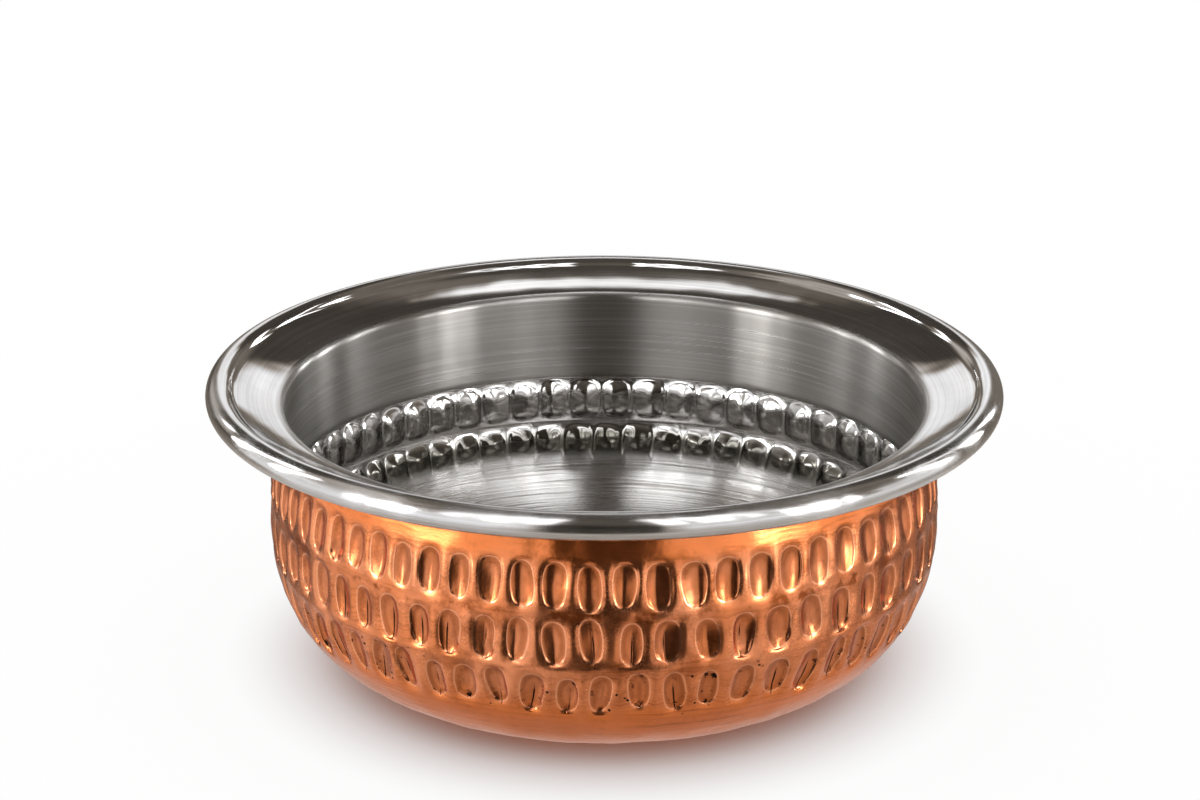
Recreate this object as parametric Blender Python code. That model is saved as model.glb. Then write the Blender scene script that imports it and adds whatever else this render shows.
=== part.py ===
"""Hammered copper bowl: a copper shell closed over a spun steel bowl with a flared, rolled rim.

Both pieces are drawn as sheet of even thickness. Each face of a sheet is a stack of rings, and
neighbouring rings are joined by triangles, so a ring can hold as many points as it needs.

Metres, +Z up. The origin lies on the bowl's axis, in the plane that the bowl stands on, and -Y is
its front. Angles run from the front towards +X.
"""

import math
from collections import namedtuple

import bmesh
import bpy

MM = 0.001

# Overall sizes
HEIGHT = 75.0 * MM
MOUTH_RADIUS = 80.0 * MM
RIM_WIDTH = 19.4 * MM
RIM_RISE = 6.2 * MM
BELLY_BULGE = 2.8 * MM
BELLY_HEIGHT = 37.5 * MM
BASE_RADIUS = 49.0 * MM
BODY_ROUNDNESS = 2.25
NECK_FULLNESS = 1.5

# The two sheets, and the gap that keeps their faceted surfaces apart
COPPER_SHEET = 0.6 * MM
STEEL_SHEET = 0.8 * MM
CLEARANCE = 0.3 * MM

# Rim: the steel wall bends out at the throat into a hollow flare, which ends in a rolled bead
THROAT_BEND = 1.6 * MM
FLARE_START_SLOPE = math.radians(10)
FLARE_HOLLOW = 0.5
BEAD_RADIUS = 3.35 * MM
BEAD_START = math.radians(158)
BEAD_END = math.radians(-172)
THROAT_HEIGHT = HEIGHT - RIM_RISE
THROAT_CENTRE = MOUTH_RADIUS + THROAT_BEND, THROAT_HEIGHT - THROAT_BEND
BEAD_CENTRE = MOUTH_RADIUS + RIM_WIDTH - BEAD_RADIUS, HEIGHT - BEAD_RADIUS

# Neck: the copper narrows on to the steel wall, then its lip bends out until it lies along the
# underside of the flare
LIP_BEND = 1.4 * MM
NECK_RADIUS = MOUTH_RADIUS + STEEL_SHEET + CLEARANCE + COPPER_SHEET
LIP_RADIUS = NECK_RADIUS - COPPER_SHEET + LIP_BEND
UNDERSIDE_DROP = (LIP_BEND + CLEARANCE + STEEL_SHEET - THROAT_BEND) / math.cos(FLARE_START_SLOPE)
UNDERSIDE_CLIMB = (LIP_RADIUS - THROAT_CENTRE[0]) * math.tan(FLARE_START_SLOPE)
NECK_HEIGHT = THROAT_CENTRE[1] - UNDERSIDE_DROP + UNDERSIDE_CLIMB
BELLY_RADIUS = NECK_RADIUS + BELLY_BULGE

# Hammer marks, stacked from the neck down. The steel steps out below the crease to meet them
NECK_BAND = 9.6 * MM
UPPER_LENGTH = 11.2 * MM
CREASE_BAND = 0.5 * MM
CREASE_STEP = 1.0 * MM
MIDDLE_BAND = 1.2 * MM
MIDDLE_LENGTH = 10.8 * MM
LOWER_BAND = 2.6 * MM
LOWER_LENGTH = 11.4 * MM
UPPER_TOP = NECK_HEIGHT - NECK_BAND
CREASE_HEIGHT = UPPER_TOP - UPPER_LENGTH - CREASE_BAND
MIDDLE_TOP = CREASE_HEIGHT - CREASE_STEP - MIDDLE_BAND
LOWER_TOP = MIDDLE_TOP - MIDDLE_LENGTH - LOWER_BAND

# A row of marks, with the angle of the one at the front. The maker's spacing drifts round the bowl
Row = namedtuple("Row", "count top length width depth front")
UPPER_ROW = Row(66, UPPER_TOP, UPPER_LENGTH, 5.6 * MM, 0.8 * MM, math.radians(-2.3))
MIDDLE_ROW = Row(60, MIDDLE_TOP, MIDDLE_LENGTH, 5.8 * MM, 0.9 * MM, math.radians(-1.8))
LOWER_ROW = Row(62, LOWER_TOP, LOWER_LENGTH, 5.2 * MM, 0.6 * MM, math.radians(-0.4))
SPACING_DRIFT = 0.1
SHOULDER = 0.55

# Facets
CORNER_RINGS = 5
NECK_RINGS = 2
LIP_RINGS = 2
BEND_RINGS = 3
FLARE_RINGS = 3
BEAD_RINGS = 10
PLAIN_COLUMNS = 72

NORMAL_STEP = 0.1 * MM

# Depths of the sheets' faces under the outside of the copper
COPPER_BACK = COPPER_SHEET
STEEL_BACK = COPPER_BACK + CLEARANCE
STEEL_FRONT = STEEL_BACK + STEEL_SHEET

# Finishes. Edges that bend by more than the crease angle stay crisp
COPPER_COLOUR = 0.80, 0.36, 0.20
COPPER_ROUGHNESS = 0.28
COPPER_CREASE = math.radians(24)
STEEL_COLOUR = 0.62, 0.61, 0.59
STEEL_ROUGHNESS = 0.16
STEEL_CREASE = math.radians(40)

TURN = 2 * math.pi
FLARE_EDGE = math.pi / 2 + FLARE_START_SLOPE


def body_radius(height):
    """Radius of the copper's outside at a height: a superellipse below the belly, a soft S above it."""
    if height < BELLY_HEIGHT:
        drop = (BELLY_HEIGHT - height) / BELLY_HEIGHT
        reach = (1 - drop**BODY_ROUNDNESS) ** (1 / BODY_ROUNDNESS)
        return BASE_RADIUS + (BELLY_RADIUS - BASE_RADIUS) * reach
    climb = min((height - BELLY_HEIGHT) / (NECK_HEIGHT - BELLY_HEIGHT), 1)
    swing = math.pi * climb**NECK_FULLNESS
    return NECK_RADIUS + (BELLY_RADIUS - NECK_RADIUS) * (1 + math.cos(swing)) / 2


def body_normal(height):
    """Unit normal (radial, vertical) of the copper's outside. The flat base faces straight down."""
    if height <= 0:
        return 0.0, -1.0
    step = min(height, NORMAL_STEP) / 2
    rise = body_radius(height + step) - body_radius(height - step)
    length = math.hypot(2 * step, rise)
    return 2 * step / length, -rise / length


def even_angles(count):
    return [TURN * step / count for step in range(count)]


def mark_angles(row):
    """Angles of a row's hammer marks, from the front round towards +X."""
    turns = [row.front + TURN * step / row.count for step in range(row.count)]
    return [turn + SPACING_DRIFT * (1 - math.cos(turn)) for turn in turns]


def body_ring(height, depth, columns):
    """Ring at a depth under the copper's outside. Columns are pairs of angle and hammered depth."""
    radius = body_radius(height)
    out, up = body_normal(height)
    return [
        (angle, radius - out * (depth + sink), height - up * (depth + sink))
        for angle, sink in columns
    ]


def plain_ring(height, depth, count):
    return body_ring(height, depth, [(angle, 0.0) for angle in even_angles(count)])


def mark_rings(row, depth):
    """The four rings of a row of hammer marks, from the bottom up.

    A mark has one point at each end, and a side, middle and side point at each shoulder. Only the
    middle points are sunk.
    """
    ends = [(angle, 0.0) for angle in mark_angles(row)]
    reach = row.length / 2
    middle = row.top - reach
    half = row.width / 2 / body_radius(middle)
    shoulders = [
        (angle + side * half, 0.0 if side else row.depth)
        for angle in mark_angles(row)
        for side in (-1, 0, 1)
    ]
    return [
        body_ring(middle - reach, depth, ends),
        body_ring(middle - SHOULDER * reach, depth, shoulders),
        body_ring(middle + SHOULDER * reach, depth, shoulders),
        body_ring(middle + reach, depth, ends),
    ]


def corner_rings(depth):
    """Rings from the flat base round the corner, up to the lowest hammer marks."""
    below_belly = (BELLY_HEIGHT - LOWER_TOP + LOWER_LENGTH) / BELLY_HEIGHT
    last = math.acos(below_belly ** (BODY_ROUNDNESS / 2))
    rings = []
    for step in range(CORNER_RINGS):
        turn = last * step / CORNER_RINGS
        height = BELLY_HEIGHT * (1 - math.cos(turn) ** (2 / BODY_ROUNDNESS))
        rings.append(plain_ring(height, depth, LOWER_ROW.count))
    return rings


def arc(centre, radius, start, end, steps):
    """Points on an arc of the section, both ends included."""
    turns = [start + (end - start) * step / steps for step in range(steps + 1)]
    return [
        (centre[0] + radius * math.cos(turn), centre[1] + radius * math.sin(turn)) for turn in turns
    ]


def plain_rings(section):
    return [[(angle, r, z) for angle in even_angles(PLAIN_COLUMNS)] for r, z in section]


def lip_rings(depth):
    """The copper's edge, bent out until it runs along the underside of the flare."""
    bend = LIP_BEND + depth - COPPER_BACK
    return plain_rings(arc((LIP_RADIUS, NECK_HEIGHT), bend, math.pi, FLARE_EDGE, LIP_RINGS))


def copper_rings(depth):
    """Rings of one face of the shell, from the base to the lip."""
    rings = corner_rings(depth)
    for row in (LOWER_ROW, MIDDLE_ROW, UPPER_ROW):
        rings += mark_rings(row, depth)
    for step in range(1, NECK_RINGS + 1):
        rings.append(plain_ring(UPPER_TOP + NECK_BAND * step / (NECK_RINGS + 1), depth, PLAIN_COLUMNS))
    return rings + lip_rings(depth)


def flare_section(start, end):
    """Points between the throat's bend and the bead. The flare is hollow, steeper further out."""
    points = []
    for step in range(1, FLARE_RINGS):
        run = step / FLARE_RINGS
        climb = FLARE_HOLLOW * run + (1 - FLARE_HOLLOW) * run**2
        points.append((start[0] + (end[0] - start[0]) * run, start[1] + (end[1] - start[1]) * climb))
    return points


def rim_section():
    """The steel's seen face from the crease to the end of the bead's curl."""
    crease = MOUTH_RADIUS, CREASE_HEIGHT
    bend = arc(THROAT_CENTRE, THROAT_BEND, math.pi, FLARE_EDGE, BEND_RINGS)
    bead = arc(BEAD_CENTRE, BEAD_RADIUS, BEAD_START, BEAD_END, BEAD_RINGS)
    return [crease] + bend + flare_section(bend[-1], bead[0]) + bead


def offset_section(points, distance):
    """The section moved sideways to the right of its direction, with mitred corners."""
    moved = []
    for index, (r, z) in enumerate(points):
        before = points[max(index - 1, 0)]
        after = points[min(index + 1, len(points) - 1)]
        entry = math.atan2(z - before[1], r - before[0]) if index else None
        leave = math.atan2(after[1] - z, after[0] - r) if after != (r, z) else entry
        entry = leave if entry is None else entry
        bend = math.remainder(leave - entry, TURN) / 2
        side = entry + bend - math.pi / 2
        reach = distance / math.cos(bend)
        moved.append((r + reach * math.cos(side), z + reach * math.sin(side)))
    return moved


def steel_rings(depth):
    """Rings of one face of the steel bowl, from its floor to the end of the curl."""
    rings = corner_rings(depth)
    for row in (LOWER_ROW, MIDDLE_ROW):
        rings += mark_rings(row, depth)
    rings.append(plain_ring(CREASE_HEIGHT - CREASE_STEP, depth, PLAIN_COLUMNS))
    return rings + plain_rings(offset_section(rim_section(), STEEL_FRONT - depth))


def ring_vertices(bm, ring):
    """A ring's vertices with their angles, the lowest angle first."""
    placed = sorted((angle % TURN, r, z) for angle, r, z in ring)
    return [(angle, bm.verts.new((r * math.sin(angle), -r * math.cos(angle), z))) for angle, r, z in placed]


def nearest_start(ring, angle):
    return min(range(len(ring)), key=lambda index: abs(math.remainder(ring[index][0] - angle, TURN)))


def join_rings(bm, lower, upper):
    """Closes the band between two rings, always with the shorter of the two next diagonals."""
    first = nearest_start(upper, lower[0][0])
    upper = upper[first:] + upper[:first]
    low, high = 0, 0
    while low < len(lower) or high < len(upper):
        here, above = lower[low % len(lower)], upper[high % len(upper)]
        next_here, next_above = lower[(low + 1) % len(lower)], upper[(high + 1) % len(upper)]
        reach_here = abs(math.remainder(next_here[0] - above[0], TURN))
        reach_above = abs(math.remainder(next_above[0] - here[0], TURN))
        if high == len(upper) or (low < len(lower) and reach_here < reach_above):
            bm.faces.new((here[1], next_here[1], above[1]))
            low += 1
        else:
            bm.faces.new((here[1], next_above[1], above[1]))
            high += 1


def sheet_mesh(name, back_rings, front_rings):
    """A closed sheet between two stacks of rings, with a flat bottom in each."""
    bm = bmesh.new()
    back = [ring_vertices(bm, ring) for ring in back_rings]
    front = [ring_vertices(bm, ring) for ring in front_rings]
    for face in (back, front):
        for lower, upper in zip(face, face[1:]):
            join_rings(bm, lower, upper)
        bm.faces.new([vertex for _, vertex in face[0]])
    join_rings(bm, back[-1], front[-1])
    bmesh.ops.recalc_face_normals(bm, faces=bm.faces)
    mesh = bpy.data.meshes.new(name)
    bm.to_mesh(mesh)
    bm.free()
    return mesh


def metal(name, colour, roughness):
    material = bpy.data.materials.new(name)
    material.use_nodes = True
    shader = material.node_tree.nodes["Principled BSDF"]
    shader.inputs["Base Color"].default_value = (*colour, 1)
    shader.inputs["Metallic"].default_value = 1
    shader.inputs["Roughness"].default_value = roughness
    return material


def add_piece(mesh, material, crease_angle):
    mesh.materials.append(material)
    mesh.shade_smooth()
    mesh.set_sharp_from_angle(angle=crease_angle)
    piece = bpy.data.objects.new(mesh.name, mesh)
    bpy.context.scene.collection.objects.link(piece)


def copper_shell():
    mesh = sheet_mesh("copper_outer_shell", copper_rings(0), copper_rings(COPPER_BACK))
    add_piece(mesh, metal("hammered_copper", COPPER_COLOUR, COPPER_ROUGHNESS), COPPER_CREASE)


def steel_bowl():
    mesh = sheet_mesh("steel_inner_bowl", steel_rings(STEEL_BACK), steel_rings(STEEL_FRONT))
    add_piece(mesh, metal("spun_steel", STEEL_COLOUR, STEEL_ROUGHNESS), STEEL_CREASE)


def main():
    for obj in list(bpy.data.objects):
        bpy.data.objects.remove(obj, do_unlink=True)
    copper_shell()
    steel_bowl()


main()
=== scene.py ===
"""Looks of a hammered copper bowl with a spun steel inside: finished surfaces, studio and camera.

Each sheet starts as a turned blank, a stack of rings with a fine grid laid out for every hammer
mark. A Geometry Nodes tree then strikes each row of marks into the blank, and another one gives the
sheet its grooves and its small unevenness. Materials are nodes on Object coordinates and on the
attributes that the hammering leaves.

Metres, +Z up, origin on the axis in the plane the bowl stands on. Angles run from the front (-Y)
towards +X.
"""

import math
from collections import namedtuple

import bmesh
import bpy
from mathutils import Matrix, Vector


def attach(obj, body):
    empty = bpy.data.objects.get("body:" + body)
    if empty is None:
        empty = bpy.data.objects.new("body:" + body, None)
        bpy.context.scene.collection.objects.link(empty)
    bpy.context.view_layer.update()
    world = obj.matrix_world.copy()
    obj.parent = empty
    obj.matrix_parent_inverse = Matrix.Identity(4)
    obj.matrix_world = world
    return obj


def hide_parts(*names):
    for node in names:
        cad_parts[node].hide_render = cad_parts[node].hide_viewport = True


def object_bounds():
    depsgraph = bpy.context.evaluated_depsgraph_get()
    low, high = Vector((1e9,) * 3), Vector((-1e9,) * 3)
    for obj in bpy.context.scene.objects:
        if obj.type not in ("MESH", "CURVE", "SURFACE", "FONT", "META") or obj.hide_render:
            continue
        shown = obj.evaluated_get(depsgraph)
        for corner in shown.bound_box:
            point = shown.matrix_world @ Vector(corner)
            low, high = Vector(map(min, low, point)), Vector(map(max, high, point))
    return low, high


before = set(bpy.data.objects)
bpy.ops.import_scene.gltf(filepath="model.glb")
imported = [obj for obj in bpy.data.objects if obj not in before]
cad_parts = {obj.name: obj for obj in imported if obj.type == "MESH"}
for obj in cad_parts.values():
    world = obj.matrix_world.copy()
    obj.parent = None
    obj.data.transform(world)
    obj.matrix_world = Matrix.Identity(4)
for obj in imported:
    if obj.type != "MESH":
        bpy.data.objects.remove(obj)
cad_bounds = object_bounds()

MM = 0.001
TURN = 2 * math.pi

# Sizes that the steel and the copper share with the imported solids
HEIGHT = cad_bounds[1][2]
MOUTH_RADIUS = 80.0 * MM
RIM_WIDTH = cad_bounds[1][0] - MOUTH_RADIUS
RIM_RISE = 6.2 * MM
BELLY_BULGE = 2.8 * MM
BELLY_HEIGHT = 37.5 * MM
BASE_RADIUS = 49.0 * MM
BODY_ROUNDNESS = 2.25
NECK_FULLNESS = 1.5
COPPER_SHEET = 0.6 * MM
STEEL_SHEET = 0.8 * MM
CLEARANCE = 0.3 * MM

# Rim
THROAT_BEND = 1.6 * MM
FLARE_START_SLOPE = math.radians(10)
FLARE_HOLLOW = 0.5
BEAD_RADIUS = 3.35 * MM
BEAD_START = math.radians(158)
BEAD_END = math.radians(-172)
FLARE_EDGE = math.pi / 2 + FLARE_START_SLOPE
THROAT_HEIGHT = HEIGHT - RIM_RISE
THROAT_CENTRE = MOUTH_RADIUS + THROAT_BEND, THROAT_HEIGHT - THROAT_BEND
BEAD_CENTRE = MOUTH_RADIUS + RIM_WIDTH - BEAD_RADIUS, HEIGHT - BEAD_RADIUS

# Neck of the copper, where its lip turns out under the flare
LIP_BEND = 1.4 * MM
NECK_RADIUS = MOUTH_RADIUS + STEEL_SHEET + CLEARANCE + COPPER_SHEET
LIP_RADIUS = NECK_RADIUS - COPPER_SHEET + LIP_BEND
UNDERSIDE_DROP = (LIP_BEND + CLEARANCE + STEEL_SHEET - THROAT_BEND) / math.cos(FLARE_START_SLOPE)
UNDERSIDE_CLIMB = (LIP_RADIUS - THROAT_CENTRE[0]) * math.tan(FLARE_START_SLOPE)
NECK_HEIGHT = THROAT_CENTRE[1] - UNDERSIDE_DROP + UNDERSIDE_CLIMB
BELLY_RADIUS = NECK_RADIUS + BELLY_BULGE
CREASE_HEIGHT = 45.1 * MM
CREASE_STEP = 1.0 * MM

# Depths of the sheets' faces under the outside of the copper
COPPER_BACK = COPPER_SHEET
STEEL_BACK = COPPER_BACK + CLEARANCE
STEEL_FRONT = STEEL_BACK + STEEL_SHEET

# How far the hidden faces are drawn in, so that the uneven sheets stay clear of each other
COPPER_TUCK = 0.1 * MM
STEEL_TUCK = 0.45 * MM

# Rows of hammer marks. Band is the height of the strip of sheet that the row takes up
Row = namedtuple("Row", "number count middle band length width depth front")
UPPER_ROW = Row(1, 66, 51.25 * MM, 12.6 * MM, 11.2 * MM, 5.7 * MM, 0.85 * MM, math.radians(-2.3))
MIDDLE_ROW = Row(2, 60, 37.55 * MM, 12.4 * MM, 10.9 * MM, 5.8 * MM, 0.9 * MM, math.radians(-1.8))
LOWER_ROW = Row(3, 62, 23.85 * MM, 13.0 * MM, 10.8 * MM, 5.5 * MM, 0.85 * MM, math.radians(-0.4))
SPACING_DRIFT = 0.1

# Grid lines of one mark, from its middle to the border of its cell, on seen and on hidden faces. The
# mark's edge is at MARK_EDGE
MARK_EDGE = 0.6
FINE_LINES = 0, 0.12, 0.25, 0.38, 0.48, 0.545, 0.6, 0.655, 0.73, 1
COARSE_LINES = 0, 0.38, 0.6, 0.73, 1

# Columns of plain rings, on seen and on hidden faces
FINE_COLUMNS = 360
COARSE_COLUMNS = 120


class Field:
    """A value in a node tree. Arithmetic on it adds Math nodes to that tree."""

    def __init__(self, tree, socket):
        self.tree = tree
        self.socket = socket

    def math(self, operation, *others, clamp=False):
        node = self.tree.nodes.new("ShaderNodeMath")
        node.operation = operation
        node.use_clamp = clamp
        for slot, value in zip(node.inputs, (self, *others)):
            feed(self.tree, value, slot)
        return Field(self.tree, node.outputs[0])

    def __add__(self, other):
        return self.math("ADD", other)

    def __sub__(self, other):
        return self.math("SUBTRACT", other)

    def __rsub__(self, other):
        return self * -1 + other

    def __mul__(self, other):
        return self.math("MULTIPLY", other)

    def __truediv__(self, other):
        return self.math("DIVIDE", other)

    def __rtruediv__(self, other):
        return self**-1 * other

    def __pow__(self, other):
        return self.math("POWER", other)

    __radd__ = __add__
    __rmul__ = __mul__

    def between(self, low, high):
        """0 at low, 1 at high, with a smooth step."""
        node = self.tree.nodes.new("ShaderNodeMapRange")
        node.interpolation_type = "SMOOTHSTEP"
        for name, value in (("Value", self), ("From Min", low), ("From Max", high)):
            feed(self.tree, value, node.inputs[name])
        return Field(self.tree, node.outputs["Result"])

    def clamped(self):
        return self.math("ADD", 0, clamp=True)


def feed(tree, value, slot):
    """Links a field or a socket to an input, or sets a plain value on it."""
    if isinstance(value, Field):
        tree.links.new(value.socket, slot)
    elif isinstance(value, bpy.types.NodeSocket):
        tree.links.new(value, slot)
    else:
        slot.default_value = value


def add_node(tree, kind, settings=None, **inputs):
    """Adds a node. Inputs are given by name, with _ for a space."""
    node = tree.nodes.new(kind)
    for name, value in (settings or {}).items():
        setattr(node, name, value)
    for name, value in inputs.items():
        feed(tree, value, node.inputs[name.replace("_", " ")])
    return node


def vector_of(tree, x, y, z):
    return add_node(tree, "ShaderNodeCombineXYZ", X=x, Y=y, Z=z).outputs[0]


def noise_of(tree, vector, scale, detail=2.0, roughness=0.5):
    inputs = {"Vector": vector, "Scale": scale, "Detail": detail, "Roughness": roughness}
    return Field(tree, add_node(tree, "ShaderNodeTexNoise", **inputs).outputs["Fac"])


# The one socket that every geometry tree takes in and puts out
SHAPE = {"Geometry": None}


def socket_kind(label, default):
    """Numbers are told by their defaults. Geometry and Material have none and are told by their names."""
    if default is None:
        return "NodeSocket" + label
    return "NodeSocketInt" if isinstance(default, int) else "NodeSocketFloat"


def new_tree(name, kind, inputs, outputs):
    """A node group with named sockets, which are given with their defaults."""
    tree = bpy.data.node_groups.new(name, kind)
    for label, default in inputs.items():
        item = tree.interface.new_socket(label, in_out="INPUT", socket_type=socket_kind(label, default))
        if default is not None:
            item.default_value = default
    for label, default in outputs.items():
        tree.interface.new_socket(label, in_out="OUTPUT", socket_type=socket_kind(label, default))
    entry = tree.nodes.new("NodeGroupInput")
    end = tree.nodes.new("NodeGroupOutput")
    fields = {label: Field(tree, entry.outputs[label]) for label in inputs}
    return tree, fields, end


def body_radius(height):
    """Radius of the copper's outside: a superellipse below the belly, a soft S above it."""
    drop = max(1 - height / BELLY_HEIGHT, 0)
    reach = (1 - drop**BODY_ROUNDNESS) ** (1 / BODY_ROUNDNESS)
    low = BASE_RADIUS + (BELLY_RADIUS - BASE_RADIUS) * reach
    climb = min(max((height - BELLY_HEIGHT) / (NECK_HEIGHT - BELLY_HEIGHT), 0), 1)
    swing = math.cos(math.pi * climb**NECK_FULLNESS)
    return low - (BELLY_RADIUS - NECK_RADIUS) * (1 - swing) / 2


# Height over which the body's slope is measured
SLOPE_STEP = 0.1 * MM


def body_point(height, depth):
    """(radius, height) of a point at a depth under the copper's outside."""
    if height <= 0:
        return BASE_RADIUS, depth
    step = min(height, SLOPE_STEP) / 2
    rise = body_radius(height + step) - body_radius(height - step)
    length = math.hypot(2 * step, rise)
    return body_radius(height) - depth * 2 * step / length, height + depth * rise / length


# A blank's vertex: its place, and what the node trees need to know of it
Spot = namedtuple("Spot", "angle radius height depth across along mark row facing body")
DECIMAL_LABELS = "angle", "depth", "across", "along", "facing", "body"
WHOLE_LABELS = "mark", "row"


def plain_ring(radius, height, columns, facing, body=0.0):
    """Ring of evenly spread vertices that no hammer reaches."""
    return [
        Spot(TURN * step / columns, radius, height, 0.0, 0.0, 0.0, 0, 0, facing, body)
        for step in range(columns)
    ]


def body_rings(heights, depth, columns, facing):
    return [plain_ring(*body_point(height, depth), columns, facing, 1.0) for height in heights]


def mirrored(lines):
    """Grid lines on both sides of the middle, in rising order."""
    return [-line for line in reversed(lines[1:])] + list(lines)


def drifted(turn):
    """The maker's spacing is a little tighter on the left than on the right."""
    return turn + SPACING_DRIFT * (1 - math.cos(turn))


def mark_rings(row, depth, lines, facing):
    """Rings of a row of marks, from the bottom up. Each mark is a square grid of the given lines."""
    rings = []
    grid = mirrored(lines)
    for along in grid:
        radius, height = body_point(row.middle + along * row.band / 2, depth)
        ring = []
        for mark in range(row.count):
            for across in grid[:-1]:
                angle = drifted(row.front + TURN * (mark + across / 2) / row.count)
                ring.append(Spot(angle, radius, height, depth, across, along, mark, row.number, facing, 1.0))
        rings.append(ring)
    return rings


def spread(low, high, steps):
    """Values between two ends, both left out."""
    return [low + (high - low) * step / steps for step in range(1, steps)]


def corner_rings(steps, depth, columns, facing):
    """Rings from the flat base up to the lowest marks, closer together where the corner is tight.

    The unevenness sets in over the first half of them.
    """
    top = LOWER_ROW.middle - LOWER_ROW.band / 2
    last = math.acos((1 - top / BELLY_HEIGHT) ** (BODY_ROUNDNESS / 2))
    rings = []
    for step in range(steps):
        height = BELLY_HEIGHT * (1 - math.cos(last * step / steps) ** (2 / BODY_ROUNDNESS))
        body = min(step / steps * 2, 1)
        rings.append(plain_ring(*body_point(height, depth), columns, facing, body))
    return rings


def floor_rings(radii, depth, columns, facing):
    """Flat rings. The underside stays flat, and the inside floor takes half of the unevenness."""
    body = 0.0 if depth < STEEL_FRONT else 0.5
    return [plain_ring(radius, depth, columns, facing, body) for radius in radii]


def arc(centre, radius, start, end, steps):
    """Points on an arc of the section, both ends included."""
    turns = [start + (end - start) * step / steps for step in range(steps + 1)]
    return [(centre[0] + radius * math.cos(turn), centre[1] + radius * math.sin(turn)) for turn in turns]


FLOOR_RADII = 6 * MM, 14 * MM, 22 * MM, 29 * MM, 35 * MM, 40 * MM, 44 * MM, 47 * MM


def copper_face(depth, tuck, lines, columns, corner_steps, neck_steps, lip_steps, facing):
    """Rings of one face of the copper, from the middle of the base to the lip.

    The tuck keeps the coarser hidden face clear of the marks.
    """
    rings = floor_rings(FLOOR_RADII, depth, columns, facing)
    rings += corner_rings(corner_steps, depth, columns, facing)
    for row in (LOWER_ROW, MIDDLE_ROW, UPPER_ROW):
        rings += mark_rings(row, depth + tuck, lines, facing)
    top = UPPER_ROW.middle + UPPER_ROW.band / 2
    rings += body_rings(spread(top, NECK_HEIGHT, neck_steps), depth, columns, facing)
    lip = arc((LIP_RADIUS, NECK_HEIGHT), LIP_BEND + depth - COPPER_BACK, math.pi, FLARE_EDGE, lip_steps)
    return rings + [plain_ring(radius, height, columns, facing) for radius, height in lip]


# Ripples of the steel's upper wall, closer together further up
WALL_RIPPLE = 0.035 * MM
WALL_RIPPLES = 3.5
RIPPLE_CROWDING = 1.3


def wall_section(steps):
    """The steel's straight upper wall, with the faint ripple of spinning, from crease to throat."""
    points = []
    for height in spread(CREASE_HEIGHT, THROAT_CENTRE[1], steps):
        reach = (height - CREASE_HEIGHT) / (THROAT_CENTRE[1] - CREASE_HEIGHT)
        swing = math.sin(TURN * WALL_RIPPLES * reach**RIPPLE_CROWDING)
        points.append((MOUTH_RADIUS - WALL_RIPPLE * swing * math.sin(math.pi * reach), height))
    return points


def flare_section(start, end, steps):
    """Points between the throat's bend and the bead. The flare is hollow, steeper further out."""
    points = []
    for step in range(1, steps):
        run = step / steps
        climb = FLARE_HOLLOW * run + (1 - FLARE_HOLLOW) * run**2
        points.append((start[0] + (end[0] - start[0]) * run, start[1] + (end[1] - start[1]) * climb))
    return points


def rim_section(wall_steps, bend_steps, flare_steps, bead_steps):
    """The steel's seen face from the crease to the end of the bead's curl."""
    bend = arc(THROAT_CENTRE, THROAT_BEND, math.pi, FLARE_EDGE, bend_steps)
    bead = arc(BEAD_CENTRE, BEAD_RADIUS, BEAD_START, BEAD_END, bead_steps)
    flare = flare_section(bend[-1], bead[0], flare_steps)
    return [(MOUTH_RADIUS, CREASE_HEIGHT)] + wall_section(wall_steps) + bend + flare + bead


def offset_section(points, distance):
    """The section moved sideways to the right of its direction, with mitred corners."""
    moved = []
    for index, (r, z) in enumerate(points):
        before = points[max(index - 1, 0)]
        after = points[min(index + 1, len(points) - 1)]
        entry = math.atan2(z - before[1], r - before[0]) if index else None
        leave = math.atan2(after[1] - z, after[0] - r) if after != (r, z) else entry
        entry = leave if entry is None else entry
        bend = math.remainder(leave - entry, TURN) / 2
        side = entry + bend - math.pi / 2
        reach = distance / math.cos(bend)
        moved.append((r + reach * math.cos(side), z + reach * math.sin(side)))
    return moved


def steel_face(depth, tuck, lines, columns, corner_steps, rim_steps, facing):
    """Rings of one face of the steel, from the middle of the floor to the end of the curl.

    The tuck draws the body's hidden face in, so that the copper's unevenness doesn't reach it.
    """
    rings = floor_rings(FLOOR_RADII, depth, columns, facing)
    rings += corner_rings(corner_steps, depth + tuck, columns, facing)
    for row in (LOWER_ROW, MIDDLE_ROW):
        rings += mark_rings(row, depth + tuck, lines, facing)
    rings += body_rings([CREASE_HEIGHT - CREASE_STEP], depth + tuck, columns, facing)
    section = offset_section(rim_section(*rim_steps), STEEL_FRONT - depth)
    return rings + [plain_ring(radius, height, columns, facing) for radius, height in section]


def join_equal(first, second, count):
    """Quads between two rings of equal count, given by their first vertices."""
    return [
        (first + step, first + (step + 1) % count, second + (step + 1) % count, second + step)
        for step in range(count)
    ]


def join_unlike(first, low, second, high):
    """Triangles between two rings of unlike count, always with the shorter of the next diagonals."""
    start = min(range(len(high)), key=lambda index: abs(math.remainder(high[index] - low[0], TURN)))
    faces = []
    here, above = 0, 0
    while here < len(low) or above < len(high):
        next_here = (here + 1) % len(low)
        over = (start + above) % len(high)
        next_over = (over + 1) % len(high)
        reach_here = abs(math.remainder(low[next_here] - high[over], TURN))
        reach_over = abs(math.remainder(high[next_over] - low[here % len(low)], TURN))
        if above == len(high) or (here < len(low) and reach_here < reach_over):
            faces.append((first + here % len(low), first + next_here, second + over))
            here += 1
        else:
            faces.append((first + here % len(low), second + next_over, second + over))
            above += 1
    return faces


# Rings whose first vertices are this close, in radians, are joined by quads
SAME_ANGLE = 1e-6


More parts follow.
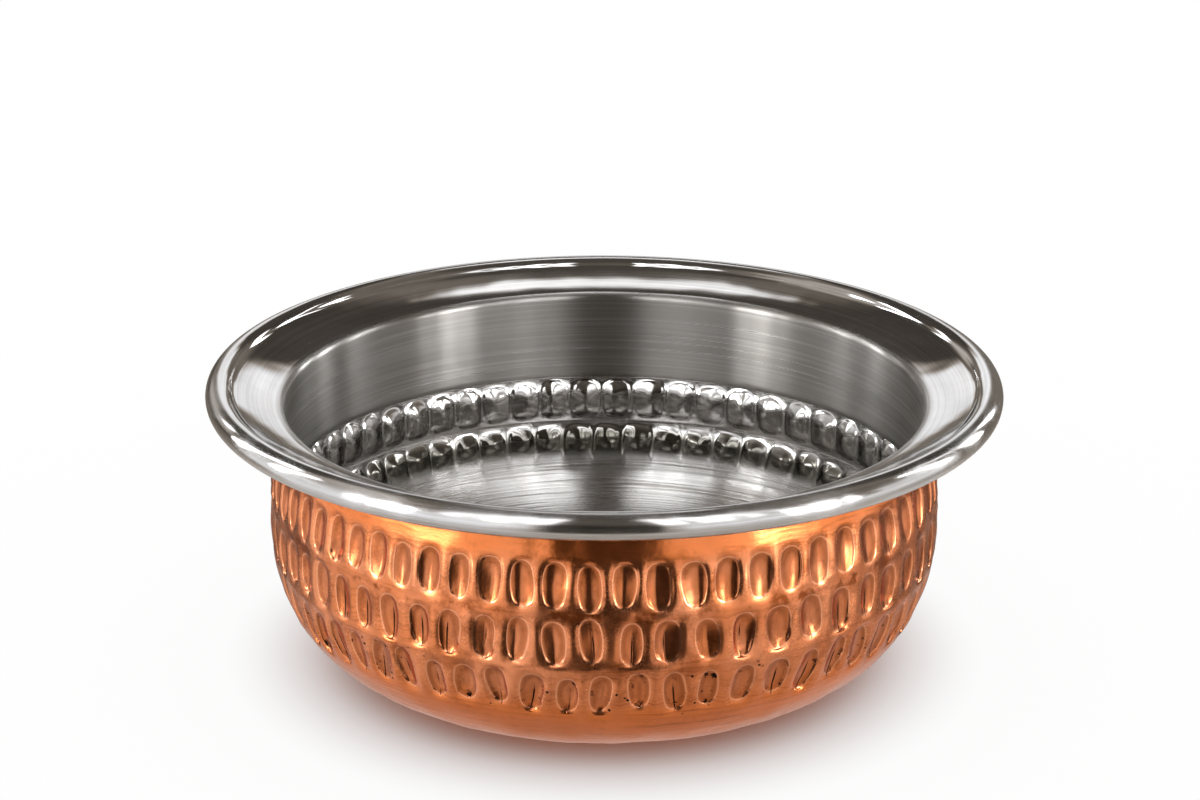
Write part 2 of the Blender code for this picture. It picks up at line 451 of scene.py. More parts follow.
def ring_faces(rings):
    """Faces that join the rings, with a flat end over the first ring and over the last."""
    starts = [0]
    for ring in rings:
        starts.append(starts[-1] + len(ring))
    faces = [tuple(reversed(range(starts[0], starts[1])))]
    for index, (low, high) in enumerate(zip(rings, rings[1:])):
        apart = abs(math.remainder(low[0].angle - high[0].angle, TURN))
        if len(low) == len(high) and apart < SAME_ANGLE:
            faces += join_equal(starts[index], starts[index + 1], len(low))
        else:
            angles = [spot.angle for spot in low], [spot.angle for spot in high]
            faces += join_unlike(starts[index], angles[0], starts[index + 1], angles[1])
    faces.append(tuple(range(starts[-2], starts[-1])))
    return faces


def blank_mesh(name, rings):
    """Closed mesh through a path of rings: up one face of the sheet, over its edge and down the other."""
    spots = [spot for ring in rings for spot in ring]
    places = [(s.radius * math.sin(s.angle), -s.radius * math.cos(s.angle), s.height) for s in spots]
    mesh = bpy.data.meshes.new(name)
    mesh.from_pydata(places, [], ring_faces(rings))
    for label in DECIMAL_LABELS + WHOLE_LABELS:
        kind = "INT" if label in WHOLE_LABELS else "FLOAT"
        attribute = mesh.attributes.new(label, kind, "POINT")
        attribute.data.foreach_set("value", [getattr(spot, label) for spot in spots])
    mesh.shade_smooth()
    return mesh


def attribute_of(tree, label, kind="FLOAT"):
    node = add_node(tree, "GeometryNodeInputNamedAttribute", {"data_type": kind}, Name=label)
    return Field(tree, node.outputs["Attribute"])


def random_of(tree, mark, seed, low, high):
    """One random value for each mark."""
    node = add_node(tree, "FunctionNodeRandomValue", {"data_type": "FLOAT"}, ID=mark, Seed=seed)
    minimum, maximum = [slot for slot in node.inputs if slot.enabled and slot.type == "VALUE"]
    minimum.default_value = low
    maximum.default_value = high
    return Field(tree, [slot for slot in node.outputs if slot.enabled][0])


def radius_field(height):
    """body_radius as nodes."""
    drop = (1 - height / BELLY_HEIGHT).math("MAXIMUM", 0)
    reach = (1 - drop**BODY_ROUNDNESS) ** (1 / BODY_ROUNDNESS)
    climb = ((height - BELLY_HEIGHT) / (NECK_HEIGHT - BELLY_HEIGHT)).clamped()
    swing = (climb**NECK_FULLNESS * math.pi).math("COSINE")
    low = BASE_RADIUS + (BELLY_RADIUS - BASE_RADIUS) * reach
    return low - (1 - swing) * (BELLY_RADIUS - NECK_RADIUS) / 2


def body_place(tree, angle, height, depth):
    """Position, as nodes, of a point at a depth under the copper's outside."""
    step = SLOPE_STEP / 2
    rise = radius_field(height + step) - radius_field(height - step)
    length = (rise * rise + 4 * step * step).math("SQRT")
    radius = radius_field(height) - depth * (2 * step) / length
    lift = height + depth * rise / length
    return vector_of(tree, radius * angle.math("SINE"), radius * angle.math("COSINE") * -1, lift)


def store(tree, geometry, label, value):
    inputs = {"Geometry": geometry, "Name": label, "Value": value}
    node = add_node(tree, "GeometryNodeStoreNamedAttribute", {"data_type": "FLOAT"}, **inputs)
    return node.outputs[0]


def finish_tree(tree, geometry, material, end):
    """Every tree ends by realising instances and setting the material."""
    real = add_node(tree, "GeometryNodeRealizeInstances", Geometry=geometry).outputs[0]
    painted = add_node(tree, "GeometryNodeSetMaterial", Geometry=real, Material=material.socket).outputs[0]
    feed(tree, painted, end.inputs["Geometry"])


# Keeps divisions safe in the middle of a mark and at its tips
SMALLEST_REACH = 0.001
SMALLEST_CHORD_SQUARED = 0.0004

# A mark's outline, from an ellipse (2) towards a rounded rectangle, and how its upper end widens
OVAL_FULLNESS = 2.3
SMALLEST_FULLNESS = 0.5
TAPER = -0.05, 0.2

# How a mark's floor falls from its tips, and the raised line round it as a share of its cell
FLOOR_FALL = 1.7
RIDGE_HALF_WIDTH = 0.06

# What a row's unevenness does to the length and the place of its marks, against their width
STRETCH_SHARE = 0.6
SHIFT_SHARE = 0.45

# How marks differ: where the valley runs, how keeled and how deep they are
VALLEY_SHIFT = -0.32, 0.32
KEEL_SPREAD = -0.6, 0.6
HIT_SPREAD = 0.8, 1.15

# The second strike, as shares of the mark, and the dark crack that some of these leave
SECOND_SIDE = -0.3, 0.3
SECOND_DROP = 0.35, 0.62
SECOND_WIDTH = 0.72
SECOND_LENGTH = 0.42
SECOND_FALL = 0.7
SECOND_DEPTH = 0.85
CRACKED_SHARE = 0.8
CRACK_THINNESS = 6

# Where the shelf under a row ends, as shares of the cell's half height
SHELF_TOP = 0.3, 1.0
SHELF_FOOT = -1.0, -0.5

# Every row sets all of these
HAMMER_MEASURES = (
    "Middle", "Cell width", "Cell height", "Width", "Length", "Depth", "Sag", "Lip", "Valley",
    "Softness", "Shelf", "Raise", "Lean", "Unevenness", "Second strike",
)
HAMMER_INPUTS = SHAPE | {"Row": 1} | dict.fromkeys(HAMMER_MEASURES, 0.0) | {"Seed": 0, "Material": None}

# A vertex in its cell: how far out it is in the square grid and in which direction, its place in the
# unit disc and how far that is from the centre, and how far outside the mark it is, from 0 at the
# mark's edge to 1 at the border of the cell
Cell = namedtuple("Cell", "square side_x side_y disc_x disc_y reach outside")

# A mark's own size, lean and place
Blow = namedtuple("Blow", "half_width half_length lean shift_x shift_y")


def bent_cell(across, along):
    """Bends the middle part of a cell's square grid to fill the unit disc."""
    square = across.math("ABSOLUTE").math("MAXIMUM", along.math("ABSOLUTE")).math("MAXIMUM", SMALLEST_REACH)
    side_x = across / square
    side_y = along / square
    inside = (square / MARK_EDGE).math("MINIMUM", 1)
    outside = ((square - MARK_EDGE) / (1 - MARK_EDGE)).clamped()
    square_x = side_x * inside
    square_y = side_y * inside
    disc_x = square_x * (1 - square_y * square_y / 2).math("SQRT")
    disc_y = square_y * (1 - square_x * square_x / 2).math("SQRT")
    reach = (disc_x * disc_x + disc_y * disc_y).math("SQRT").math("MAXIMUM", SMALLEST_REACH)
    return Cell(square, side_x, side_y, disc_x, disc_y, reach, outside)


def own_blow(given, drawn):
    """Draws a mark's own size, lean and place."""
    uneven = given["Unevenness"]
    size = 1 + drawn(0, -1, 1) * uneven
    stretch = 1 + drawn(1, -1, 1) * uneven * STRETCH_SHARE
    lean = drawn(2, -1, 1) * given["Lean"]
    shift_x = drawn(3, -1, 1) * uneven * given["Width"] * SHIFT_SHARE
    shift_y = drawn(4, -1, 1) * uneven * given["Length"] * SHIFT_SHARE + given["Raise"]
    return Blow(given["Width"] * size * 0.5, given["Length"] * stretch * 0.5, lean, shift_x, shift_y)


def dish(cell, sharpness):
    """Depth, from 0 at the edge to 1, of a struck oval with a valley along it.

    Also gives how far a vertex is from that valley, as a share of the chord, and the half chord.
    """
    chord = (1 - cell.disc_y * cell.disc_y).math("MAXIMUM", SMALLEST_CHORD_SQUARED).math("SQRT")
    share = (cell.disc_x.math("ABSOLUTE") / chord).math("MINIMUM", 1)
    round_floor = 1 - share * share
    keeled_floor = 1 - share
    return chord**FLOOR_FALL * (round_floor + (keeled_floor - round_floor) * sharpness), share, chord


def oval_place(given, drawn, cell, blow, slide):
    """(x, y) from the cell's middle: bent to the oval inside the mark, spread over the land outside it."""
    power_x = (cell.disc_x / cell.reach).math("ABSOLUTE") ** OVAL_FULLNESS
    power_y = (cell.disc_y / cell.reach).math("ABSOLUTE") ** OVAL_FULLNESS
    fullness = (power_x + power_y).math("MAXIMUM", SMALLEST_FULLNESS)
    squared = 1 + (fullness ** (-1 / OVAL_FULLNESS) - 1) * cell.reach
    taper = 1 + cell.disc_y * drawn(12, *TAPER)
    oval_x = (cell.disc_x + slide) * squared * taper * blow.half_width
    oval_y = cell.disc_y * squared * blow.half_length
    turned_x = oval_x * blow.lean.math("COSINE") - oval_y * blow.lean.math("SINE") + blow.shift_x
    turned_y = oval_x * blow.lean.math("SINE") + oval_y * blow.lean.math("COSINE") + blow.shift_y
    x = turned_x + (cell.side_x * given["Cell width"] * 0.5 - turned_x) * cell.outside
    y = turned_y + (cell.side_y * given["Cell height"] * 0.5 - turned_y) * cell.outside
    return x, y


def second_strike(given, drawn, blow, x, y):
    """Depth of the smaller strike that some marks took over their lower end."""
    side = (x - blow.shift_x) / blow.half_width - drawn(8, *SECOND_SIDE)
    drop = (y - blow.shift_y) / blow.half_length + drawn(9, *SECOND_DROP)
    near_x = side / SECOND_WIDTH
    near_y = drop / SECOND_LENGTH
    reach = (1 - near_x * near_x - near_y * near_y).math("MAXIMUM", 0)
    wanted = drawn(10, 0, 1).math("LESS_THAN", given["Second strike"])
    return reach**SECOND_FALL * wanted * SECOND_DEPTH


def is_row(tree, row):
    """1 on the vertices of a row of marks, 0 elsewhere."""
    chosen = add_node(tree, "FunctionNodeCompare", {"data_type": "INT", "operation": "EQUAL"})
    first, other = [slot for slot in chosen.inputs if slot.enabled and slot.type == "INT"]
    feed(tree, attribute_of(tree, "row", "INT"), first)
    feed(tree, row, other)
    return Field(tree, chosen.outputs[0])


def hammer_tree():
    """Strikes one row of marks into a blank.

    Every mark has a square grid in its cell. The grid's middle part is bent to fill an oval, and the
    rest fills the land between the oval and the borders of the cell.
    """
    tree, given, end = new_tree("hammer_marks", "GeometryNodeTree", HAMMER_INPUTS, SHAPE)
    across = attribute_of(tree, "across")
    mark = attribute_of(tree, "mark", "INT")

    def drawn(number, low, high):
        """One of the mark's own random values."""
        return random_of(tree, mark, given["Seed"] + number, low, high)

    cell = bent_cell(across, attribute_of(tree, "along"))
    blow = own_blow(given, drawn)
    dent, share, chord = dish(cell, (drawn(6, *KEEL_SPREAD) + given["Valley"]).clamped())
    slide = drawn(5, *VALLEY_SHIFT) * (1 - share * share) * chord
    x, y = oval_place(given, drawn, cell, blow, slide)
    pillow = 0.5 + (cell.reach * math.pi).math("COSINE") * 0.5
    dent = dent + (pillow - dent) * given["Softness"]
    second = second_strike(given, drawn, blow, x, y)
    struck = dent.math("MAXIMUM", second) * drawn(7, *HIT_SPREAD)

    # The edge of a mark is pulled down with it, and its rim stands up a little
    sag = (1 - cell.outside) ** 2 * given["Sag"]
    level = y / (given["Cell height"] * 0.5)
    shelf = (1 - level.between(*SHELF_TOP)) * level.between(*SHELF_FOOT) * given["Shelf"]
    rim = (1 - (cell.square - MARK_EDGE).math("ABSOLUTE") / RIDGE_HALF_WIDTH).math("MAXIMUM", 0)
    sink = struck * given["Depth"] + sag + shelf - rim * given["Lip"] * (1 - second.math("MINIMUM", 1))
    cracked = drawn(11, 0, 1).math("LESS_THAN", given["Second strike"] * CRACKED_SHARE)
    fading = (1 - cell.outside) * (1 - cell.disc_y).clamped()
    crack = (1 - share * CRACK_THINNESS).clamped() * cracked * fading

    angle = attribute_of(tree, "angle") + (x - across * given["Cell width"] * 0.5) / BELLY_RADIUS
    place = body_place(tree, angle, given["Middle"] + y, attribute_of(tree, "depth") + sink)
    chosen = is_row(tree, given["Row"])
    inputs = {"Geometry": given["Geometry"], "Selection": chosen, "Position": place}
    shape = add_node(tree, "GeometryNodeSetPosition", **inputs).outputs[0]
    for label, value in (("struck", struck), ("edge", rim), ("crack", crack)):
        shape = store(tree, shape, label, value * chosen + attribute_of(tree, label))
    finish_tree(tree, shape, given["Material"], end)
    return tree


# The groove wanders up and down and fades in places
WAVER_SCALE = 95
WAVER_REACH = 1.4
FAINTEST_GROOVE = 0.35
GROOVE_FADE = 0.4, 0.6

UNEVENNESS_INPUTS = {
    "Geometry": None,
    "Amount": 0.0001,
    "Size": 0.012,
    "Groove height": 0.045,
    "Groove depth": 0.0,
    "Groove width": 0.002,
    "Material": None,
}


def unevenness_tree():
    """Pushes a sheet in and out a little, and presses one soft groove round it."""
    tree, given, end = new_tree("sheet_unevenness", "GeometryNodeTree", UNEVENNESS_INPUTS, SHAPE)
    position = add_node(tree, "GeometryNodeInputPosition").outputs[0]
    normal = add_node(tree, "GeometryNodeInputNormal").outputs[0]
    height = Field(tree, add_node(tree, "ShaderNodeSeparateXYZ", Vector=position).outputs["Z"])
    body = attribute_of(tree, "body")
    waves = noise_of(tree, position, 1 / given["Size"], detail=1.0) - 0.5
    waver = noise_of(tree, position, WAVER_SCALE, detail=1.0)
    away = (height - given["Groove height"]) / given["Groove width"] + (waver - 0.5) * WAVER_REACH
    groove = (away * away * -1).math("EXPONENT") * (FAINTEST_GROOVE + waver.between(*GROOVE_FADE))
    inward = waves * given["Amount"] * 2 + groove * given["Groove depth"]
    push = inward * attribute_of(tree, "facing") * body * -1
    offset = add_node(tree, "ShaderNodeVectorMath", {"operation": "SCALE"}, Vector=normal, Scale=push)
    inputs = {"Geometry": given["Geometry"], "Offset": offset.outputs[0]}
    moved = add_node(tree, "GeometryNodeSetPosition", **inputs)
    shape = store(tree, moved.outputs[0], "groove", groove * body)
    finish_tree(tree, shape, given["Material"], end)
    return tree


def add_modifier(piece, tree, values):
    """Geometry Nodes modifier with its inputs set by socket identifier."""
    modifier = piece.modifiers.new(tree.name, "NODES")
    modifier.node_group = tree
    for item in tree.interface.items_tree:
        if item.in_out == "INPUT" and item.name in values:
            modifier[item.identifier] = values[item.name]


def settled(piece):
    """The piece with its modifiers turned into a plain mesh."""
    bpy.context.view_layer.update()
    graph = bpy.context.evaluated_depsgraph_get()
    mesh = bpy.data.meshes.new_from_object(piece.evaluated_get(graph))
    piece.modifiers.clear()
    piece.data = mesh
    for label in DECIMAL_LABELS + WHOLE_LABELS:
        mesh.attributes.remove(mesh.attributes[label])
    return piece


# How each row is struck: how far edges sag and rims stand up, how keeled or how softly domed the
# marks are, the shelf that they stand on and how high on it, how much they lean and differ, and what
# share of them took a second strike
Strike = namedtuple("Strike", "sag lip valley softness shelf lift lean unevenness second seed")
UPPER_STRIKE = Strike(0.45 * MM, 0.10 * MM, 0.5, 0.0, 0.0, 0.0, 0.07, 0.08, 0.15, 11)
MIDDLE_STRIKE = Strike(0.50 * MM, 0.10 * MM, 0.6, 0.0, 0.0, 0.0, 0.12, 0.12, 0.75, 43)
LOWER_STRIKE = Strike(0.60 * MM, 0.09 * MM, 0.4, 0.0, 0.0, 0.0, 0.22, 0.17, 0.70, 87)

# The same blows as the inside of the bowl shows them: wide, soft and on a shelf all round
INNER_MIDDLE_ROW = MIDDLE_ROW._replace(width=7.4 * MM, length=10.4 * MM, depth=0.8 * MM)
INNER_LOWER_ROW = LOWER_ROW._replace(width=6.8 * MM, length=5.8 * MM, depth=0.8 * MM)
INNER_MIDDLE_STRIKE = Strike(0.45 * MM, 0.0, 0.3, 0.6, 1.1 * MM, 0.0, 0.06, 0.08, 0.3, 43)
INNER_LOWER_STRIKE = Strike(0.35 * MM, 0.0, 0.3, 0.4, 0.8 * MM, 2.0 * MM, 0.30, 0.14, 0.7, 87)


def strike_row(piece, tree, row, strike, material):
    add_modifier(
        piece,
        tree,
        {
            "Row": row.number,
            "Middle": row.middle,
            "Cell width": TURN * BELLY_RADIUS / row.count,
            "Cell height": row.band,
            "Width": row.width,
            "Length": row.length,
            "Depth": row.depth,
            "Sag": strike.sag,
            "Lip": strike.lip,
            "Valley": strike.valley,
            "Softness": strike.softness,
            "Shelf": strike.shelf,
            "Raise": strike.lift,
            "Lean": strike.lean,
            "Unevenness": strike.unevenness,
            "Second strike": strike.second,
            "Seed": strike.seed,
            "Material": material,
        },
    )


def new_piece(name, mesh, material):
    mesh.materials.append(material)
    piece = bpy.data.objects.new(name, mesh)
    bpy.context.scene.collection.objects.link(piece)
    return piece


Place = namedtuple("Place", "x y z radius vector")


def object_place(tree):
    """A place in the piece's own coordinates, with its distance from the axis."""
    vector = add_node(tree, "ShaderNodeTexCoord").outputs["Object"]
    parts = add_node(tree, "ShaderNodeSeparateXYZ", Vector=vector)
    x, y, z = [Field(tree, slot) for slot in parts.outputs]
    return Place(x, y, z, (x * x + y * y).math("SQRT"), vector)


# Spun lines follow each other with the height and, on flat parts, this much faster with the radius
RADIUS_WEIGHT = 1.7


def spun_lines_group():
    """Fine lines that run round the bowl, as spinning and polishing leave them."""
    inputs = {"Along": 18.0, "Across": 900.0, "Detail": 3.0}
    tree, given, end = new_tree("spun_lines", "ShaderNodeTree", inputs, {"Lines": 0.0})
    place = object_place(tree)
    level = (place.z + place.radius * RADIUS_WEIGHT) * given["Across"]
    vector = vector_of(tree, place.x * given["Along"], place.y * given["Along"], level)
    feed(tree, noise_of(tree, vector, 1.0, given["Detail"]), end.inputs["Lines"])
    return tree


# Pits have torn edges and gather in patches
PIT_TEAR_SCALE = 900
PIT_TEAR = 0.25
PIT_PATCH_SCALE = 75
PATCH_EDGE = 0.06
PIT_SOFTNESS = 0.6


def pits_group():
    """Small dark pits and specks, gathered in patches."""
    inputs = {"Spacing": 0.003, "Size": 0.1, "Share": 0.5}
    tree, given, end = new_tree("pits", "ShaderNodeTree", inputs, {"Mask": 0.0})
    vector = object_place(tree).vector
    torn = noise_of(tree, vector, PIT_TEAR_SCALE)
    cells = add_node(tree, "ShaderNodeTexVoronoi", Vector=vector, Scale=1 / given["Spacing"])
    reach = Field(tree, cells.outputs["Distance"]) + (torn - 0.5) * PIT_TEAR
    patches = noise_of(tree, vector, PIT_PATCH_SCALE)
    picked = patches.between(1 - given["Share"], 1 - given["Share"] + PATCH_EDGE)
    mask = (1 - reach.between(given["Size"] * PIT_SOFTNESS, given["Size"])) * picked
    feed(tree, mask, end.inputs["Mask"])
    return tree


def place_group(tree, group, output, **inputs):
    node = add_node(tree, "ShaderNodeGroup", {"node_tree": group}, **inputs)
    return Field(tree, node.outputs[output])


def mixed(tree, fac, first, second):
    """Mix of two colours by a field."""
    node = tree.nodes.new("ShaderNodeMix")
    node.data_type = "RGBA"
    colours = [slot for slot in node.inputs if slot.enabled and slot.type == "RGBA"]
    feed(tree, fac, node.inputs["Factor"])
    feed(tree, first, colours[0])
    feed(tree, second, colours[1])
    return [slot for slot in node.outputs if slot.enabled][0]


def colour(red, green, blue):
    return red, green, blue, 1.0


def new_metal(name):
    material = bpy.data.materials.new(name)
    material.use_nodes = True
    tree = material.node_tree
    shader = tree.nodes["Principled BSDF"]
    shader.inputs["Metallic"].default_value = 1.0
    return material, tree, shader


def bare_tree(owner):
    """The emptied node tree of a material or of the world."""
    owner.use_nodes = True
    owner.node_tree.nodes.clear()
    return owner.node_tree


def show(tree, shader, output="ShaderNodeOutputMaterial"):
    feed(tree, shader.outputs[0], tree.nodes.new(output).inputs["Surface"])


def ray_kind(tree, label):
    return Field(tree, add_node(tree, "ShaderNodeLightPath").outputs[label])


def shader_attribute(tree, label):
    node = add_node(tree, "ShaderNodeAttribute", {"attribute_name": label})
    return Field(tree, node.outputs["Fac"])


def bump_of(tree, height, distance):
    node = add_node(tree, "ShaderNodeBump", Height=height, Distance=distance, Strength=1.0)
    return node.outputs["Normal"]


QUARTER_TURN = 0.25


def brushed(tree, shader, anisotropy):
    """Brush lines run round the axis, so they spread a reflection across themselves."""
    shader.inputs["Anisotropic"].default_value = anisotropy
    shader.inputs["Anisotropic Rotation"].default_value = QUARTER_TURN
    around = add_node(tree, "ShaderNodeTangent", {"direction_type": "RADIAL", "axis": "Z"})
    feed(tree, around.outputs[0], shader.inputs["Tangent"])


COPPER_BRUSHING = 0.35
COPPER_RELIEF = 0.03 * MM
# Light copper that the rims of the marks are painted towards, a painted highlight
COPPER_PAINTED_HIGHLIGHT = colour(0.95, 0.47, 0.27)
COPPER_ROSE = colour(0.87, 0.32, 0.15)
COPPER_ORANGE = colour(0.85, 0.24, 0.072)
COPPER_BROWN = colour(0.30, 0.075, 0.02)
PIT_BLACK = colour(0.012, 0.006, 0.004)

# Heights between which the copper is rubbed and pitted, and from which painted shade browns the neck under
# the rim, each with a soft start and end
RUBBED_START = 16 * MM, 26 * MM
RUBBED_END = 54 * MM, 60 * MM
PITTED_START = 15 * MM, 19 * MM
PITTED_END = 28 * MM, 32 * MM
UNDER_RIM_SHADE_START = 61 * MM, 66 * MM

# How fine the copper's clouds, patches, ragged spots, freckles and grain are
CLOUD_SCALE = 70
PATCH_SCALE = 110
RAGGED_SCALE = 420
FRECKLE_SCALE = 480
GRAIN_SCALE = 1300

# Shares of a mark's depth, at its rim and from the top to the foot of its wall
MARK_RIM = 0.0, 0.1
WALL_START = 0.0, 0.12
WALL_END = 0.35, 0.8


def copper_finish(spun_lines, pits):
    """Polished copper: brushed round the bowl, browned in the marks and grooves with patina and painted
    shade, pitted low down, with painted shade under the rim and painted highlights on the marks' rims.
    """
    material, tree, shader = new_metal("hammered_copper")
    brushed(tree, shader, COPPER_BRUSHING)
    place = object_place(tree)
    z = place.z
    vector = place.vector
    lines = place_group(tree, spun_lines, "Lines", Along=14.0, Across=1100.0, Detail=3.0)
    struck = shader_attribute(tree, "struck")
    edge = shader_attribute(tree, "edge")
    groove = shader_attribute(tree, "groove")
    clouds = noise_of(tree, vector, CLOUD_SCALE, detail=3.0, roughness=0.6)
    grain = noise_of(tree, vector, GRAIN_SCALE, roughness=0.6)

    # Rosy where it is rubbed, more orange low down and on the neck. The raised rims of the marks are painted
    # rosier and lighter, a painted highlight
    plain = 1 - z.between(*RUBBED_START) * (1 - z.between(*RUBBED_END))
    orange_share = (plain * 0.75 + clouds.between(0.35, 0.7) * 0.5 + lines * 0.3 - edge * 0.6).clamped()
    tint = mixed(tree, orange_share, COPPER_ROSE, COPPER_ORANGE)
    # Painted highlight: the rims of the marks are mixed towards light copper
    tint_with_rim_highlight = mixed(tree, edge.clamped() * 0.4, tint, COPPER_PAINTED_HIGHLIGHT)

    # Brown in the grooves, on the walls of the marks and in patches on the land between them: patina in the
    # hollows and patches, with painted shade in the marks, most on their walls, and evenly along the groove.
    # Painted shade also browns the neck under the rim, and the marks' rims are kept clear of brown as a
    # painted highlight
    wall = struck.between(*WALL_START) * (1 - struck.between(*WALL_END))
    unstruck = 1 - struck.between(*MARK_RIM)
    land = (1 - plain) * unstruck * (1 - edge)
    stain = clouds.between(0.3, 0.65)
    freckles = noise_of(tree, vector, FRECKLE_SCALE, detail=3.0, roughness=0.7).between(0.52, 0.68)
    streaks = lines.between(0.5, 0.68) * stain * unstruck
    # Painted shade under the rim: the neck is browned from these heights up, patchy with the clouds
    under_rim_shade = z.between(*UNDER_RIM_SHADE_START) * clouds
    patches = noise_of(tree, vector, PATCH_SCALE, detail=4.0, roughness=0.65).between(0.47, 0.62)
    # Patina and painted shade in the marks, most on their walls, and patina patches on the land
    tarnish_and_shade = wall * 0.5 + struck * 0.48 * (clouds + 0.5) + land * (stain * 0.2 + patches * 0.4)
    # Patina patches along the groove over an even painted shade
    tarnish_and_shade = tarnish_and_shade + groove * (0.15 + patches * 0.6)
    # Stains and freckles, painted shade on the neck under the rim, and the rims kept light as a painted
    # highlight
    tarnish_and_shade = tarnish_and_shade + streaks * (0.3 + plain * 0.25) + freckles * 0.14 + under_rim_shade * 0.5 - edge * 0.4
    tarnished_and_shaded = mixed(tree, tarnish_and_shade.clamped(), tint_with_rim_highlight, COPPER_BROWN)

    # Black cracks along some marks, black pits low down
    cracked = shader_attribute(tree, "crack").between(0.5, 0.85) * clouds.between(0.36, 0.5)
    low_band = z.between(*PITTED_START) * (1 - z.between(*PITTED_END))
    torn = noise_of(tree, vector, RAGGED_SCALE, detail=4.0, roughness=0.6)
    ragged = torn.between(0.58, 0.63) * low_band * wall * clouds.between(0.42, 0.55)
    pit = place_group(tree, pits, "Mask", Spacing=0.0026, Size=0.2, Share=0.45) * low_band
    dark = pit.math("MAXIMUM", cracked).math("MAXIMUM", ragged)
    feed(tree, mixed(tree, dark, tarnished_and_shaded, PIT_BLACK), shader.inputs["Base Color"])

    roughness = 0.13 + lines * 0.10 + grain * 0.08 - edge * 0.05
    roughness = roughness + groove * 0.1 + land * stain * 0.08 + dark * 0.4
    feed(tree, roughness.clamped(), shader.inputs["Roughness"])
    height = lines * (0.4 + plain * 2.2) + grain * 0.7 + clouds * 1.6 - dark * 4
    feed(tree, bump_of(tree, height, COPPER_RELIEF), shader.inputs["Normal"])
    return material


STEEL_BRUSHING = 1.0
STEEL_RELIEF = 0.02 * MM
STEEL_BRIGHT = colour(0.74, 0.735, 0.73)
STEEL_DULL = colour(0.56, 0.545, 0.525)
STEEL_SHADE = colour(0.37, 0.355, 0.33)
# Dark colour of the painted shade low on the inside, between the knobs
STEEL_LOW_SHADE = colour(0.10, 0.095, 0.075)

# Soft borders between the steel's parts: radii at the mouth and the bead, heights further in
MOUTH_EDGE = MOUTH_RADIUS + 0.8 * MM, MOUTH_RADIUS + 2.5 * MM
BEAD_EDGE = BEAD_CENTRE[0] - 1.5 * MM, BEAD_CENTRE[0] + 1.0 * MM
FLOOR_EDGE = 21 * MM, 24 * MM
# Top of the painted shade between the knobs low down
LOW_SHADE_EDGE = 31 * MM, 36 * MM
CREASE_EDGE = CREASE_HEIGHT - 0.6 * MM, CREASE_HEIGHT + 0.2 * MM

# How fine the steel's smudges and the rim's waves are
SMUDGE_SCALE = 45
WAVE_SCALE = 70
WAVE_HEIGHT = 10


def steel_finish(spun_lines):
    """Spun stainless steel: brushed round the inside, nearly a mirror on the rim."""
    material, tree, shader = new_metal("spun_steel")
    brushed(tree, shader, STEEL_BRUSHING)
    place = object_place(tree)
    z = place.z
    vector = place.vector
    lines = place_group(tree, spun_lines, "Lines", Along=7.0, Across=1300.0, Detail=3.0)
    scratches = place_group(tree, spun_lines, "Lines", Along=16.0, Across=420.0, Detail=2.0)
    arcs = scratches.between(0.56, 0.64)
    smudges = noise_of(tree, vector, SMUDGE_SCALE, detail=3.0, roughness=0.6)
    inside = 1 - place.radius.between(*MOUTH_EDGE)
    bead = place.radius.between(*BEAD_EDGE)
    above_floor = z.between(*FLOOR_EDGE)
    floor = 1 - above_floor
    hammered = above_floor * (1 - z.between(*CREASE_EDGE))
    matt = inside * (1 - hammered * 0.85)

    # Painted shade darkens the inside, less on its floor, with bright and dull spun lines and dark scored
    # arcs, and painted shade darkens it between the knobs low down
    tone = lines * 0.6 + smudges * 0.4
    plain = mixed(tree, tone.between(0.3, 0.7), STEEL_DULL, STEEL_BRIGHT)
    # Painted shade over the inside, less on its floor, with the spun lines and scored arcs in it
    shade = inside * (0.85 - floor * 0.7 + (lines - 0.5) * 2.5) + matt * arcs * (0.15 + floor * 0.5)
    shaded = mixed(tree, shade.clamped(), plain, STEEL_SHADE)
    low_wall = inside * above_floor * (1 - z.between(*LOW_SHADE_EDGE))
    # Painted shade between the knobs low down, patchy with the smudges
    low_shade = low_wall * (0.6 + smudges.between(0.3, 0.7) * 0.4)
    feed(tree, mixed(tree, low_shade * 0.9, shaded, STEEL_LOW_SHADE), shader.inputs["Base Color"])

    # Scuffed on the bead, matt and scored inside, softly waved on the rim
    scuffed = bead * (0.06 + smudges.between(0.4, 0.6) * 0.08)
    roughness = 0.04 + lines * 0.05 + matt * (lines * 0.14 + 0.17 - floor * 0.05) + scuffed
    feed(tree, roughness.clamped(), shader.inputs["Roughness"])
    waves = noise_of(tree, vector, WAVE_SCALE, detail=1.0) * (1 - inside) * WAVE_HEIGHT
    scored = lines * (matt * 1.1 + floor * 1.5 + 0.2) + arcs * floor * 2.0
    feed(tree, bump_of(tree, scored + waves, STEEL_RELIEF), shader.inputs["Normal"])
    return material


GROOVE_HEIGHT = 44.4 * MM
GROOVE_DEPTH = 0.35 * MM
GROOVE_WIDTH = 1.1 * MM
UNEVENNESS_SIZE = 9 * MM
COPPER_UNEVENNESS = 0.36 * MM
STEEL_UNEVENNESS = 0.06 * MM


